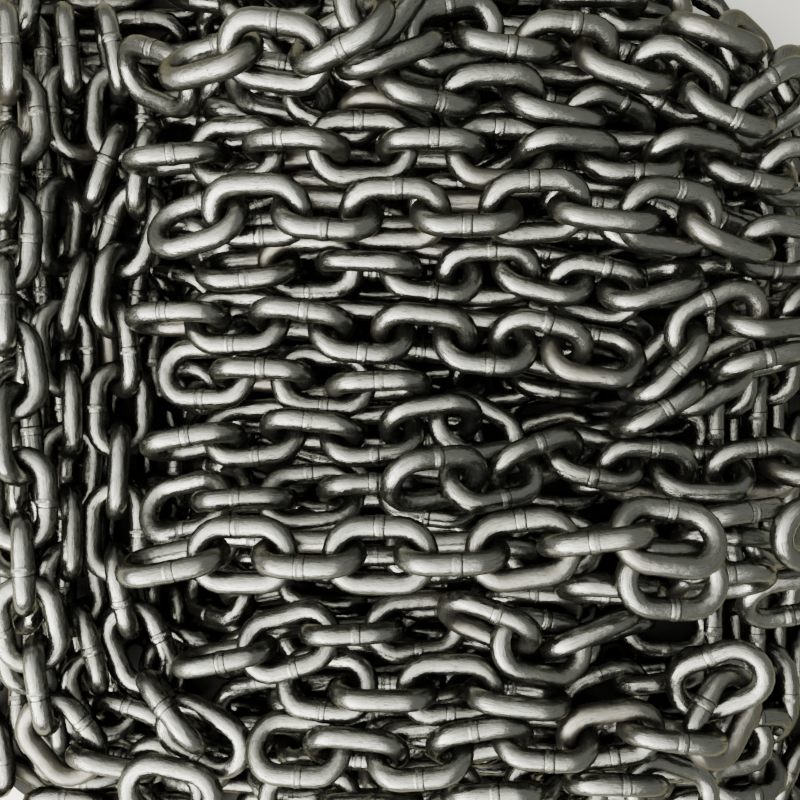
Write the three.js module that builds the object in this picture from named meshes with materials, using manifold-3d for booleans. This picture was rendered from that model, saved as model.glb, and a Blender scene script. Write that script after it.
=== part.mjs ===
// A heap of welded short-link chain, as loose stock lies on a floor.
// Millimetres, +Z up. The origin is on the floor, under the middle of the heap.
// Two bundles of strands lie over a mound of buried chain: rows that run along X over its top,
// and columns that run along Y on a low shelf at its -X side.

import * as THREE from "three";
import { mergeGeometries, mergeVertices } from "three/addons/utils/BufferGeometryUtils.js";
import Module from "manifold-3d";

const wasm = await Module();
wasm.setup();
const { clamp, degToRad, lerp, smoothstep } = THREE.MathUtils;

// The link: a round wire bent to a stadium, its ends butt-welded in one leg
const wireDiameter = 10;
const innerLength = 31;
const outerWidth = 34.5;
const wireRadius = wireDiameter / 2;
const crownRadius = (outerWidth - wireDiameter) / 2;
const legLength = innerLength + wireDiameter - 2 * crownRadius;

// How finely a link is cut: sides of its section, flats round a crown, and the two allowances
// that keep the flats as thick and as far out on average as the round wire
const wireSides = 5;
const crownFlats = 3;
const sectionRadius = wireRadius * 1.1;
const crownStretch = 1.11;
const cornerFlats = 6;

// The mound of buried chain: a high top for the rows, a low shelf for the columns, and a wide
// open corner at the north-east
const mound = {
  west: -238,
  east: 236,
  south: -238,
  north: 238,
  cornerRadius: 45,
  openCornerRadius: 135,
  rim: 27,
  flankWidth: 52,
  topHeight: 60,
  shelfHeight: 30,
  shelfEdge: -126,
  topEdge: -98,
  cell: 24,
  baseDepth: 2,
};

// Ridges of buried chain across the mound, each under the strands that lie highest
const ridges = [
  { x: -40, y: 156, halfLength: 75, halfWidth: 18, height: 34 },
  { x: 90, y: 156, halfLength: 80, halfWidth: 18, height: 18 },
  { x: 30, y: 88, halfLength: 170, halfWidth: 20, height: 8 },
  { x: 0, y: 36, halfLength: 130, halfWidth: 20, height: 8 },
  { x: 45, y: -70, halfLength: 170, halfWidth: 14, height: 46 },
  { x: 50, y: -155, halfLength: 130, halfWidth: 20, height: 12 },
  { x: -196, y: 10, halfLength: 16, halfWidth: 160, height: 8 },
];

// Strands as seen from above, with a place for each link from the first to the last.
// The level orders the strands by height. The roll turns the first link about the strand: 0 lies
// flat, 90 on edge, 45 with its left leg up. Each next link turns a right angle and the twist more.
// A link that doesn't follow its neighbours has its own heading, rise and roll after its place.
const strands = [
  {
    name: "row_strand_01", level: 0, roll: 30, twist: 0,
    places: [[-90, 207], [-60, 206], [-30, 207], [0, 207], [31, 207], [61, 206], [91, 204]],
  },
  {
    name: "row_strand_02", level: 1, roll: 100, twist: 0,
    places: [
      [-90, 192], [-60, 185], [-30, 184], [1, 181], [32, 182], [61, 183], [91, 188], [117, 181],
      [140, 166], [167, 160],
    ],
  },
  {
    name: "row_strand_03", level: 3, roll: 45, twist: 0,
    places: [[-112, 152], [-83, 147], [-53, 153], [-22, 146], [-4, 166], [2, 203]],
  },
  {
    name: "row_strand_04", level: 2, roll: 135, twist: 0,
    places: [
      [-6, 150], [21, 160], [47, 160], [76, 160], [104, 152], [126, 143], [152, 138], [167, 139],
      [194, 155],
    ],
  },
  {
    name: "row_strand_05", level: 0, roll: 45, twist: 0,
    places: [[-55, 140], [-28, 138], [2, 134], [32, 134]],
  },
  {
    name: "row_strand_06", level: 1, roll: 135, twist: 0,
    places: [[12, 131], [40, 132], [70, 131], [104, 132]],
  },
  {
    name: "row_strand_07", level: 1, roll: 90, twist: -3,
    places: [
      [-105, 113], [-77, 116], [-49, 117], [-18, 117], [14, 116], [45, 117], [77, 116], [106, 115],
      [136, 117], [166, 111], [192, 108],
    ],
  },
  {
    name: "row_strand_08", level: 0, roll: 135, twist: 0,
    places: [[-68, 89], [-37, 90], [-6, 89], [27, 90], [60, 89], [91, 88], [121, 78]],
  },
  {
    name: "row_strand_09", level: 2, roll: 135, twist: 0,
    places: [
      [-91, 79], [-64, 84], [-35, 84], [-4, 84], [27, 84], [58, 88], [89, 88], [119, 86],
      [155, 76], [188, 67],
    ],
  },
  {
    name: "row_strand_10", level: 1, roll: 90, twist: -6,
    places: [[-73, 60], [-45, 62], [-15, 61], [16, 60], [45, 61], [69, 61], [93, 51], [114, 55]],
  },
  {
    name: "row_strand_11", level: 1, roll: 85, twist: -5,
    places: [[-103, 37], [-75, 38], [-46, 39], [-20, 36], [11, 34], [41, 26], [68, 29], [90, 18]],
  },
  {
    name: "row_strand_12", level: 1, roll: 135, twist: 0,
    places: [[123, 14], [150, 35], [173, 37], [201, 45]],
  },
  {
    name: "row_strand_13", level: 0, roll: 0, twist: 0,
    places: [[-93, 14], [-64, 13], [-36, 11], [-9, 4]],
  },
  {
    name: "row_strand_14", level: 0, roll: 90, twist: 0,
    places: [[119, -4], [139, 16], [170, 24]],
  },
  {
    name: "row_strand_15", level: 1, roll: 90, twist: -12,
    places: [[-98, -20], [-69, -15], [-42, -13], [-13, -18], [16, -7], [37, -15]],
  },
  {
    name: "row_strand_16", level: 2, roll: 45, twist: -5,
    places: [
      [14, -38], [43, -40], [58, -24], [98, -29], [117, -31], [142, -37], [169, -34], [197, -29],
    ],
  },
  {
    name: "row_strand_17", level: 0, roll: 145, twist: 0,
    places: [[-103, -55], [-69, -54], [-41, -50], [-14, -47], [16, -53]],
  },
  {
    name: "row_strand_18", level: 3, roll: 90, twist: 0,
    places: [
      [-99, -72], [-69, -68], [-41, -68], [-10, -68], [22, -66], [52, -64], [84, -60], [118, -63],
      [151, -51], [185, -61],
    ],
  },
  {
    name: "row_strand_19", level: 0, roll: 170, twist: 0,
    places: [[64, -88], [96, -82], [115, -78], [144, -82], [180, -86]],
  },
  {
    name: "row_strand_20", level: 1, roll: 90, twist: 0,
    places: [[-83, -121], [-52, -115], [-23, -109], [9, -108], [41, -98], [67, -114], [89, -108]],
  },
  {
    name: "row_strand_21", level: 0, roll: 170, twist: 0,
    places: [[-38, -137], [-7, -139], [24, -141], [55, -142]],
  },
  {
    name: "row_strand_22", level: 1, roll: 150, twist: -10,
    places: [
      [-48, -161], [-21, -161], [8, -163], [37, -146], [67, -159], [98, -155], [126, -152, -13],
      [152, -150, 55], [148, -133, 225, -35, 5],
    ],
  },
  {
    name: "row_strand_23", level: 0, roll: 0, twist: 0,
    places: [[-43, -191], [-14, -191], [15, -189], [44, -185], [73, -183], [102, -176], [131, -188]],
  },
  {
    name: "row_strand_24", level: 0, roll: 45, twist: 0,
    places: [[-45, -212], [-15, -211], [16, -211], [46, -210], [77, -209]],
  },
  {
    name: "column_strand_01", level: 0, roll: 20, twist: 0,
    places: [
      [-224, 103], [-224, 72], [-225, 42], [-225, 11], [-225, -20], [-224, -50], [-224, -80],
      [-223, -110],
    ],
  },
  {
    name: "column_strand_02", level: 0, roll: 45, twist: 0,
    places: [
      [-195, 209], [-193, 178], [-192, 148], [-192, 118], [-192, 87], [-194, 57], [-195, 26],
      [-193, -4], [-191, -35], [-190, -65], [-188, -95], [-187, -126],
    ],
  },
  {
    name: "column_strand_03", level: 2, roll: 80, twist: 1,
    places: [
      [-191, 170], [-187, 140], [-185, 111], [-188, 80], [-190, 48], [-186, 16], [-181, -17],
      [-180, -47], [-180, -77], [-177, -108], [-173, -145], [-170, -175], [-136, -180],
      [-109, -186],
    ],
  },
  {
    name: "column_strand_04", level: 1, roll: 65, twist: 0,
    places: [
      [-171, 177], [-168, 146], [-154, 114], [-174, 87], [-163, 56], [-171, 28], [-168, -5],
      [-174, -36], [-167, -67], [-174, -98], [-158, -128], [-154, -154], [-136, -166], [-108, -186],
    ],
  },
  {
    name: "column_strand_05", level: 1, roll: 68, twist: 11,
    places: [
      [-148, 179], [-141, 146], [-124, 117], [-138, 86], [-146, 55], [-144, 27], [-143, -4],
      [-144, -36], [-144, -66], [-138, -97], [-133, -128], [-107, -152], [-94, -161],
    ],
  },
];

// Settling, as the strands come down and nestle
const firstDrop = 22;
const levelDrop = 34;
const fall = 0.45;
const fallSteps = 260;
const calmSteps = 40;
const passes = 6;
const homing = 0.05;
const turnHoming = 0.02;
const gyration = 15;
const looseGap = 0.6;
const bearingSqueeze = 0.7;
const mendRounds = 30;
const mendPasses = 60;
const mendStep = 0.35;
const leastGap = 0.2;
const bearingVolume = 0.5;
const pairRefresh = 4;
const groundShares = [0, 0.33, 0.67];
const weldTolerance = 1e-3;
const tiny = 1e-9;

// Distance from a point to the mound's rounded outline, negative outside
function depthInside(x, y) {
  const { west, east, south, north } = mound;
  const rightward = x - (east + west) / 2;
  const upward = y - (north + south) / 2;
  const radius = rightward > 0 && upward > 0 ? mound.openCornerRadius : mound.cornerRadius;
  const dx = Math.abs(rightward) - (east - west) / 2 + radius;
  const dy = Math.abs(upward) - (north - south) / 2 + radius;
  const outside = Math.hypot(Math.max(dx, 0), Math.max(dy, 0));
  return radius - outside - Math.min(Math.max(dx, dy), 0);
}

// Height of the mound's top: the shelf or the high top, with flat-topped ridges added to them,
// falling to the rim all round
function moundHeight(x, y) {
  const rise = smoothstep(depthInside(x, y), 0, mound.flankWidth);
  const step = smoothstep(x, mound.shelfEdge, mound.topEdge);
  let top = lerp(mound.shelfHeight, mound.topHeight, step);
  for (const ridge of ridges) {
    const away = ((x - ridge.x) / ridge.halfLength) ** 4 + ((y - ridge.y) / ridge.halfWidth) ** 4;
    top += ridge.height * Math.exp(-away);
  }
  return mound.rim + (top - mound.rim) * rise;
}

// The mound's upper surface as a grid of folded squares
const cellsX = Math.ceil((mound.east - mound.west) / mound.cell);
const cellsY = Math.ceil((mound.north - mound.south) / mound.cell);
const sideX = (mound.east - mound.west) / cellsX;
const sideY = (mound.north - mound.south) / cellsY;
const gridHeights = Array.from({ length: (cellsX + 1) * (cellsY + 1) }, (_, k) =>
  moundHeight(mound.west + (k % (cellsX + 1)) * sideX, mound.south + Math.floor(k / (cellsX + 1)) * sideY),
);

const slope = new THREE.Vector3();

// How far a point is above the folded mound or the floor, with the way out put in slope
function heightAbove({ x, y, z }) {
  slope.set(0, 0, 1);
  if (depthInside(x, y) < 0) return z;
  const u = clamp((x - mound.west) / sideX, 0, cellsX - tiny);
  const v = clamp((y - mound.south) / sideY, 0, cellsY - tiny);
  const i = Math.floor(u);
  const j = Math.floor(v);
  const a = u - i;
  const b = v - j;
  const at = (p, q) => gridHeights[(j + q) * (cellsX + 1) + i + p];
  const riseX = a > b ? at(1, 0) - at(0, 0) : at(1, 1) - at(0, 1);
  const riseY = a > b ? at(1, 1) - at(1, 0) : at(0, 1) - at(0, 0);
  slope.set(-riseX / sideX, -riseY / sideY, 1).normalize();
  return (z - at(0, 0) - a * riseX - b * riseY) * slope.z;
}

// The wire's centreline as a closed polygon: the +X crown's points, then the -X crown's
const crownPoints = crownFlats + 1;
const outlinePoints = 2 * crownPoints;
const outline = Array.from({ length: outlinePoints }, (_, k) => {
  const end = k < crownPoints ? 1 : -1;
  const angle = Math.PI / 2 - (Math.PI * (k % crownPoints)) / crownFlats;
  return new THREE.Vector3(
    end * (legLength / 2 + crownStretch * crownRadius * Math.cos(angle)),
    0,
    end * crownRadius * Math.sin(angle),
  );
});

const arm = new THREE.Vector3();
const spin = new THREE.Quaternion();

class Link {
  constructor(strand, index, centre, turn) {
    this.strand = strand;
    this.index = index;
    this.centre = centre;
    this.turn = turn;
    this.home = centre.clone();
    this.homeTurn = turn.clone();
    this.lift = 0;
    this.points = outline.map((p) => p.clone());
    this.place();
  }
  place() {
    outline.forEach((p, k) => this.points[k].copy(p).applyQuaternion(this.turn).add(this.centre));
  }
  // How easily a push along n at the point p moves the link
  ease(p, n) {
    arm.subVectors(p, this.centre).cross(n);
    return 1 + arm.lengthSq() / gyration ** 2;
  }
  push(p, n, amount) {
    arm.subVectors(p, this.centre).cross(n).multiplyScalar(amount / gyration ** 2);
    this.centre.addScaledVector(n, amount);
    const angle = arm.length();
    if (angle > tiny) this.turn.premultiply(spin.setFromAxisAngle(arm.divideScalar(angle), angle)).normalize();
    this.place();
  }
}

// Puts the links of one strand over their places, high above the mound
function layStrand(strand) {
  const spots = strand.places.map(([x, y]) => new THREE.Vector3(x, y, 0));
  return spots.map((spot, index) => {
    const before = spots[Math.max(index - 1, 0)];
    const after = spots[Math.min(index + 1, spots.length - 1)];
    const [, , heading, rise = 0, roll = strand.roll + (90 + strand.twist) * index] = strand.places[index];
    const along = after.clone().sub(before).normalize();
    if (heading !== undefined) {
      along.set(1, 0, 0).applyEuler(new THREE.Euler(0, -degToRad(rise), degToRad(heading), "ZYX"));
    }
    const across = new THREE.Vector3(0, 0, 1).cross(along).normalize();
    across.applyAxisAngle(along, degToRad(roll));
    const basis = new THREE.Matrix4().makeBasis(along, across.clone().cross(along), across);
    const centre = spot.clone();
    centre.z = moundHeight(spot.x, spot.y) + firstDrop + strand.level * levelDrop;
    return new Link(strand, index, centre, new THREE.Quaternion().setFromRotationMatrix(basis));
  });
}

const onOne = new THREE.Vector3();
const onTwo = new THREE.Vector3();
const nearOne = new THREE.Vector3();
const nearTwo = new THREE.Vector3();

// Distance between the segments pq and rs, with their nearest points put in nearOne and nearTwo
function segmentDistance(p, q, r, s) {
  const ux = q.x - p.x, uy = q.y - p.y, uz = q.z - p.z;
  const vx = s.x - r.x, vy = s.y - r.y, vz = s.z - r.z;
  const wx = p.x - r.x, wy = p.y - r.y, wz = p.z - r.z;
  const uu = ux * ux + uy * uy + uz * uz;
  const vv = vx * vx + vy * vy + vz * vz;
  const uv = ux * vx + uy * vy + uz * vz;
  const uw = ux * wx + uy * wy + uz * wz;
  const vw = vx * wx + vy * wy + vz * wz;
  const slant = uu * vv - uv * uv;
  let m = slant > tiny ? clamp((uv * vw - uw * vv) / slant, 0, 1) : 0;
  let n = (uv * m + vw) / vv;
  if (n < 0 || n > 1) {
    n = clamp(n, 0, 1);
    m = clamp((uv * n - uw) / uu, 0, 1);
  }
  nearOne.set(p.x + ux * m, p.y + uy * m, p.z + uz * m);
  nearTwo.set(r.x + vx * n, r.y + vy * n, r.z + vz * n);
  return nearOne.distanceTo(nearTwo);
}

// Shortest distance below a limit between runs of sides of two links' outlines
function linkDistance(one, two, oneFrom, oneCount, twoFrom, twoCount, limit) {
  let best = limit;
  for (let i = oneFrom; i < oneFrom + oneCount; i++) {
    const p = one.points[i];
    const q = one.points[(i + 1) % outlinePoints];
    for (let j = twoFrom; j < twoFrom + twoCount; j++) {
      const r = two.points[j];
      const s = two.points[(j + 1) % outlinePoints];
      const reach = best + (p.distanceTo(q) + r.distanceTo(s)) / 2;
      const mx = (p.x + q.x - r.x - s.x) / 2;
      const my = (p.y + q.y - r.y - s.y) / 2;
      const mz = (p.z + q.z - r.z - s.z) / 2;
      if (mx * mx + my * my + mz * mz > reach * reach) continue;
      const d = segmentDistance(p, q, r, s);
      if (d < best) {
        best = d;
        onOne.copy(nearOne);
        onTwo.copy(nearTwo);
      }
    }
  }
  return best;
}

const normal = new THREE.Vector3();

// Moves two links apart, or together, by a distance between their nearest points
function spread(one, two, change) {
  normal.subVectors(onOne, onTwo);
  const size = normal.length();
  if (size < tiny) return;
  normal.divideScalar(size);
  const share = change / (one.ease(onOne, normal) + two.ease(onTwo, normal));
  one.push(onOne, normal, share);
  two.push(onTwo, normal, -share);
}

function solvePair(pair) {
  const { one, two, joined, extra } = pair;
  let limit = wireDiameter + looseGap + extra;
  if (joined) {
    limit = wireDiameter - bearingSqueeze - extra;
    const crown = linkDistance(one, two, 0, crownFlats, crownPoints, crownFlats, Infinity);
    spread(one, two, limit - crown);
  }
  const d = linkDistance(one, two, 0, outlinePoints, 0, outlinePoints, limit);
  if (d < limit) spread(one, two, limit - d);
}

const wayOut = new THREE.Vector3();
const lowest = new THREE.Vector3();
const tested = new THREE.Vector3();

function solveGround(link) {
  let deepest = 0;
  for (let k = 0; k < outlinePoints; k++) {
    const p = link.points[k];
    const q = link.points[(k + 1) % outlinePoints];
    for (const share of groundShares) {
      tested.lerpVectors(p, q, share);
      const sunk = wireRadius + looseGap + link.lift - heightAbove(tested);
      if (sunk > deepest) {
        deepest = sunk;
        lowest.copy(tested);
        wayOut.copy(slope);
      }
    }
  }
  if (deepest > 0) link.push(lowest, wayOut, deepest / link.ease(lowest, wayOut));
}

function nearPairs(links, known) {
  const reach = legLength + 2 * crownRadius + 2 * wireDiameter;
  const pairs = [];
  links.forEach((one, i) => {
    for (let j = i + 1; j < links.length; j++) {
      const two = links[j];
      if (one.centre.distanceTo(two.centre) > reach) continue;
      const key = i * links.length + j;
      const joined = one.strand === two.strand && two.index - one.index === 1;
      if (!known.has(key)) known.set(key, { one, two, joined, extra: 0 });
      pairs.push(known.get(key));
    }
  });
  return pairs;
}

function settle(links, known) {
  let pairs = [];
  for (let step = 0; step < fallSteps + calmSteps; step++) {
    if (step % pairRefresh === 0) pairs = nearPairs(links, known);
    for (const link of links) {
      if (step < fallSteps) link.centre.z -= fall;
      link.centre.x += homing * (link.home.x - link.centre.x);
      link.centre.y += homing * (link.home.y - link.centre.y);
      link.turn.slerp(link.homeTurn, turnHoming);
      link.place();
    }
    for (let pass = 0; pass < passes; pass++) {
      pairs.forEach(solvePair);
      links.forEach(solveGround);
    }
  }
}

// One link: a crown turned half round as on a lathe, and a straight leg, and both again turned round
function linkGeometry() {
  const profile = Array.from({ length: wireSides + 1 }, (_, k) => {
    const angle = (2 * Math.PI * k) / wireSides;
    return new THREE.Vector2(crownRadius + sectionRadius * Math.cos(angle), sectionRadius * Math.sin(angle));
  });
  const crown = new THREE.LatheGeometry(profile, crownFlats, 0, Math.PI)
    .scale(crownStretch, 1, 1)
    .translate(legLength / 2, 0, 0);
  const leg = new THREE.CylinderGeometry(sectionRadius, sectionRadius, legLength, wireSides, 1, true)
    .rotateZ(Math.PI / 2)
    .translate(0, 0, crownRadius);
  const half = mergeGeometries([crown, leg]);
  return mergeGeometries([half, half.clone().rotateY(Math.PI)]);
}

function solidFrom(geometry) {
  geometry.deleteAttribute("normal");
  geometry.deleteAttribute("uv");
  const welded = mergeVertices(geometry, weldTolerance);
  return new wasm.Manifold(
    new wasm.Mesh({
      numProp: 3,
      vertProperties: welded.attributes.position.array,
      triVerts: new Uint32Array(welded.index.array),
    }),
  );
}

function meshFrom(solid, name, material) {
  const { vertProperties, triVerts } = solid.getMesh();
  const geometry = new THREE.BufferGeometry()
    .setAttribute("position", new THREE.BufferAttribute(vertProperties, 3))
    .setIndex(new THREE.BufferAttribute(triVerts, 1));
  geometry.computeVertexNormals();
  const mesh = new THREE.Mesh(geometry, material);
  mesh.name = name;
  return mesh;
}

// The mound as one solid: a box with its top folded to the grid, cut to the rounded outline
function moundSolid() {
  const { west, east, south, north, cornerRadius: r, openCornerRadius: open, baseDepth } = mound;
  const box = new THREE.BoxGeometry(east - west, north - south, baseDepth, cellsX, cellsY, 1)
    .translate((east + west) / 2, (north + south) / 2, 0);
  const at = box.attributes.position;
  for (let k = 0; k < at.count; k++) {
    if (at.getZ(k) > 0) at.setZ(k, moundHeight(at.getX(k), at.getY(k)));
  }
  const shape = new THREE.Shape()
    .absarc(east - open, north - open, open, 0, Math.PI / 2)
    .absarc(west + r, north - r, r, Math.PI / 2, Math.PI)
    .absarc(west + r, south + r, r, Math.PI, 1.5 * Math.PI)
    .absarc(east - r, south + r, r, 1.5 * Math.PI, 2 * Math.PI);
  const outer = new THREE.ExtrudeGeometry(shape, {
    depth: 2 * mound.topHeight,
    bevelEnabled: false,
    curveSegments: cornerFlats,
  });
  return solidFrom(box).intersect(solidFrom(outer));
}

const blackSteel = new THREE.MeshStandardMaterial({ color: 0x24251f, roughness: 0.3, metalness: 0.8 });
const buriedSteel = new THREE.MeshStandardMaterial({ color: 0x121210, roughness: 0.6, metalness: 0.5 });

const oneLink = linkGeometry();
function linkSolid(link) {
  const pose = new THREE.Matrix4().compose(link.centre, link.turn, new THREE.Vector3(1, 1, 1));
  return solidFrom(oneLink.clone().applyMatrix4(pose));
}

// Joined links that miss each other are drawn together, and loose ones that nearly meet moved apart
function mend(links, core, known) {
  for (let round = 0; round < mendRounds; round++) {
    const solids = new Map(links.map((link) => [link, linkSolid(link)]));
    const pairs = nearPairs(links, known);
    const wrong = pairs.filter(({ one, two, joined }) => {
      if (joined) return solids.get(one).intersect(solids.get(two)).volume() < bearingVolume;
      return solids.get(one).minGap(solids.get(two), leastGap) < leastGap;
    });
    const low = links.filter((link) => solids.get(link).minGap(core, leastGap) < leastGap);
    if (wrong.length + low.length === 0) return;
    for (const pair of wrong) pair.extra += mendStep;
    for (const link of low) link.lift += mendStep;
    for (let pass = 0; pass < mendPasses; pass++) {
      pairs.forEach(solvePair);
      links.forEach(solveGround);
    }
  }
  throw new Error("the links have not come clear of each other");
}

const links = strands.flatMap(layStrand);
const core = moundSolid();
const known = new Map();
settle(links, known);
mend(links, core, known);

const heap = new THREE.Group();
heap.name = "heap_of_welded_link_chain";
heap.add(meshFrom(core, "core", buriedSteel));
for (const strand of strands) {
  const solids = links.filter((link) => link.strand === strand).map(linkSolid);
  heap.add(meshFrom(solids.reduce((sum, next) => sum.add(next)), strand.name, blackSteel));
}

// The origin goes under the middle of the heap
const bounds = new THREE.Box3().setFromObject(heap, true);
const middle = bounds.getCenter(new THREE.Vector3());
for (const mesh of heap.children) mesh.geometry.translate(-middle.x, -middle.y, -bounds.min.z);

export default heap;
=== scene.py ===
"""Looks of a heap of welded link chain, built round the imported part.

Every strand is remade as round wire links with their welds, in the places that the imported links
have. The mound under them becomes the buried chain. Lengths are metres, Z is up, and the heap
lies on the floor at Z 0.
"""

import math

import bpy
import numpy as np
from bpy.props import FloatProperty, FloatVectorProperty, IntProperty, PointerProperty
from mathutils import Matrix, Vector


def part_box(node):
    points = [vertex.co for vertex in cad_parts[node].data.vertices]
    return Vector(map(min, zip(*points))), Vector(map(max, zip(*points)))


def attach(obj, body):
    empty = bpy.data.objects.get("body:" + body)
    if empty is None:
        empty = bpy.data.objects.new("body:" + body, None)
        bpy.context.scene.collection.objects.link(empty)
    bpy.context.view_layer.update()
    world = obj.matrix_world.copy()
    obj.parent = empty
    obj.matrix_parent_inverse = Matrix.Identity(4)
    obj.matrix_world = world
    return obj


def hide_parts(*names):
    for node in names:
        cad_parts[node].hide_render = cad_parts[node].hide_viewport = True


bl_info = {
    "name": "Welded chain heap",
    "version": (1, 0, 0),
    "blender": (4, 5, 0),
    "location": "3D Viewport > Sidebar > Chain heap",
    "description": "Builds the wire links, the buried chain and the stage of a heap of link chain",
    "category": "Add Mesh",
}

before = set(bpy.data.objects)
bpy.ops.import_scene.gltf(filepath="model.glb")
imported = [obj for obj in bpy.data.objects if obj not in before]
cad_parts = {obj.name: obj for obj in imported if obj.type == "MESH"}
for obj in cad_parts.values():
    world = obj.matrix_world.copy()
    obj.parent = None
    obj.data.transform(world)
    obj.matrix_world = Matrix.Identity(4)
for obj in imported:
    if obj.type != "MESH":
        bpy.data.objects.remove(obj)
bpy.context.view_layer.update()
STRANDS = sorted(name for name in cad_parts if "strand" in name)
MOUND = "core"
MM = 0.001

# How a packed leg's edges are known: a leg has five, of one length, level and close together
PACKED_SIDES, FEWEST_SIDES = 5, 3
EDGE_TOLERANCE = 0.012 * MM
SAME_PLACE = 0.1 * MM
LEVEL = 0.3 * MM
LEG_REACH = 11 * MM
LABEL_ROUNDS = 12
PAIR_TOLERANCE = 0.5 * MM
PARALLEL, PARALLEL_LEGS = 0.9999, 0.9995
OFF_AXIS = (0.3, 0.5, 0.8)

# How finely a link is cut: steps round a crown, and the distances from the weld, in
# millimetres, at which the wire has a ring. A buried link's cut starts with its facets.
CROWN_STEPS, WELD_RINGS = 11, (0, 1.2, 1.9, 2.2, 2.5, 3.6)
BURIED_CUT = (8, 6, (0, 2.2))
COLLAR_LEAST, COLLAR_SPREAD = 0.3, 1.2
UNEVENNESS = 0.012
LOWER_WELDS = 0.33

# The mound's height grid
GRID_STEP = 4 * MM
LEAST_AREA = 1e-12
CORNER_SLACK = 1e-6
EDGE_ROOM = 0.001

# The buried chain: distances in from the mound's sides, and heights over the floor. Its random
# choices have a number of their own, beyond the strands' numbers.
BURIED_STREAM = 1000
LAYERS = 3
SHELF_WIDTH = 118 * MM
FIRST_STRAND, LAST_ROW, STRAND_END = 38 * MM, 36 * MM, 16 * MM
ROW_OVERLAP, COLUMN_OVERLAP = 10 * MM, 8 * MM
LOWEST_AXIS = 14.5 * MM
DEEPEST_SINK = 6 * MM
FLOOR_GAP = 0.3 * MM
TURN_SPREAD = 10
PATH_POINTS = 160
SWAY_WAVES = (0.09, 0.17, 0.31)

# The border on the floor round it
BORDER_INSETS = (15.5 * MM, 42 * MM, 68 * MM)
BORDER_DEPTH = 4 * MM
BORDER_TURN = (45, 5)
BORDER_CLEARANCE, BORDER_TOP = 20 * MM, 44 * MM
BORDER_POINTS = 400
ON_FLOOR = 0.1 * MM
CORNER_DIGITS = 5
LEAST_TURN = 1e-7

# The heart under it, a near-black body of painted shade
HEART_INSET = 11 * MM
HEART_DEPTH, HEART_SINK = 34 * MM, 6 * MM
HEART_EDGE, HEART_BASE = 3 * MM, 1 * MM
HEART_CELLS = 70

# The stage: places and sizes in metres, the camera's sensor in millimetres
CAMERA_PLACE = (2.428 * MM, 0.0, 480 * MM)
SENSOR, FOCAL_RATIO = 36.0, 850 / 800
NEAREST_SEEN = 0.02
FLOOR_SIZE, FLOOR_DEPTH = 12.0, 0.2 * MM
PANEL_PLACE = (-0.75, -0.25, 1.15)
PANEL_WIDTH, PANEL_DEPTH, PANEL_RADIANCE = 2.4, 3.8, 132.0
PANEL_COLOUR = (1.0, 0.99, 0.905)
ROOM_COLOUR, ROOM_GLOW = (0.40, 0.42, 0.39, 1.0), 2.8
BACKDROP = (0.9, 0.9, 0.88, 1.0)
BACKDROP_GLOW = 1.7


# Settings


class LinkSettings(bpy.types.PropertyGroup):
    """Sizes of one welded link."""

    wire: FloatProperty(
        name="Wire", description="Diameter of the wire", default=10 * MM, unit="LENGTH"
    )
    inner_length: FloatProperty(
        name="Inner length", description="Length of the hole, which is the pitch of taut chain",
        default=31 * MM, unit="LENGTH",
    )
    outer_width: FloatProperty(
        name="Outer width", description="Width over both legs", default=34.5 * MM, unit="LENGTH"
    )
    collar: FloatProperty(
        name="Weld collar", description="How far the weld stands proud of the wire",
        default=0.32 * MM, unit="LENGTH",
    )
    groove: FloatProperty(
        name="Weld groove", description="Depth of the lines at the weld collar's edges",
        default=0.14 * MM, unit="LENGTH",
    )
    groove_width: FloatProperty(
        name="Groove width", description="Half the width of those lines",
        default=0.3 * MM, unit="LENGTH",
    )
    weld: FloatProperty(
        name="Weld", description="Half the length of wire that the weld collar covers",
        default=2.2 * MM, unit="LENGTH",
    )
    weld_stray: FloatProperty(
        name="Weld stray", description="Most that a weld is off the middle of its leg",
        default=1.8 * MM, unit="LENGTH",
    )
    sides: IntProperty(name="Sides", description="Facets round the wire", default=14, min=6)


class HeapSettings(bpy.types.PropertyGroup):
    """How the buried chain fills the mound."""

    row_spacing: FloatProperty(
        name="Row spacing", description="Distance between buried strands", default=26 * MM,
        unit="LENGTH",
    )
    seat: FloatProperty(
        name="Seat", description="Depth of a buried strand's axis under the mound's surface",
        default=17 * MM, unit="LENGTH",
    )
    column_depth: FloatProperty(
        name="Column depth", description="How much deeper the buried columns lie than the rows",
        default=8 * MM, unit="LENGTH",
    )
    layer: FloatProperty(
        name="Layer", description="Distance between the buried layers", default=21 * MM,
        unit="LENGTH",
    )
    sway: FloatProperty(
        name="Sway", description="How far a buried strand strays from its line",
        default=4.5 * MM, unit="LENGTH",
    )
    slack_pitch: FloatProperty(
        name="Slack pitch", description="Distance from link to link in loose chain",
        default=29.5 * MM, unit="LENGTH",
    )
    seed: IntProperty(name="Seed", description="Seed of every random choice", default=7)


class FinishSettings(bpy.types.PropertyGroup):
    """Colours of the heap and of the floor."""

    steel: FloatVectorProperty(
        name="Steel", description="Oiled black steel", subtype="COLOR",
        default=(0.079, 0.08, 0.073), min=0, max=1,
    )
    # This colour is the real mill scale in the dark dashes and pits, and also paints shade: the
    # darkening towards the floor and the near-black heart
    scale: FloatVectorProperty(
        name="Mill scale", description="Dark scale between the drawing marks", subtype="COLOR",
        default=(0.015, 0.0148, 0.013), min=0, max=1,
    )
    rust: FloatVectorProperty(
        name="Rust tint", description="Thin brown film at some links' ends", subtype="COLOR",
        default=(0.042, 0.03, 0.018), min=0, max=1,
    )
    seam: FloatVectorProperty(
        name="Seam", description="Dark lines at the weld's edges", subtype="COLOR",
        default=(0.004, 0.004, 0.003), min=0, max=1,
    )
    floor: FloatVectorProperty(
        name="Floor", description="Pale floor", subtype="COLOR", default=(0.3, 0.297, 0.28),
        min=0, max=1,
    )


# Shapes of a link


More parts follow.
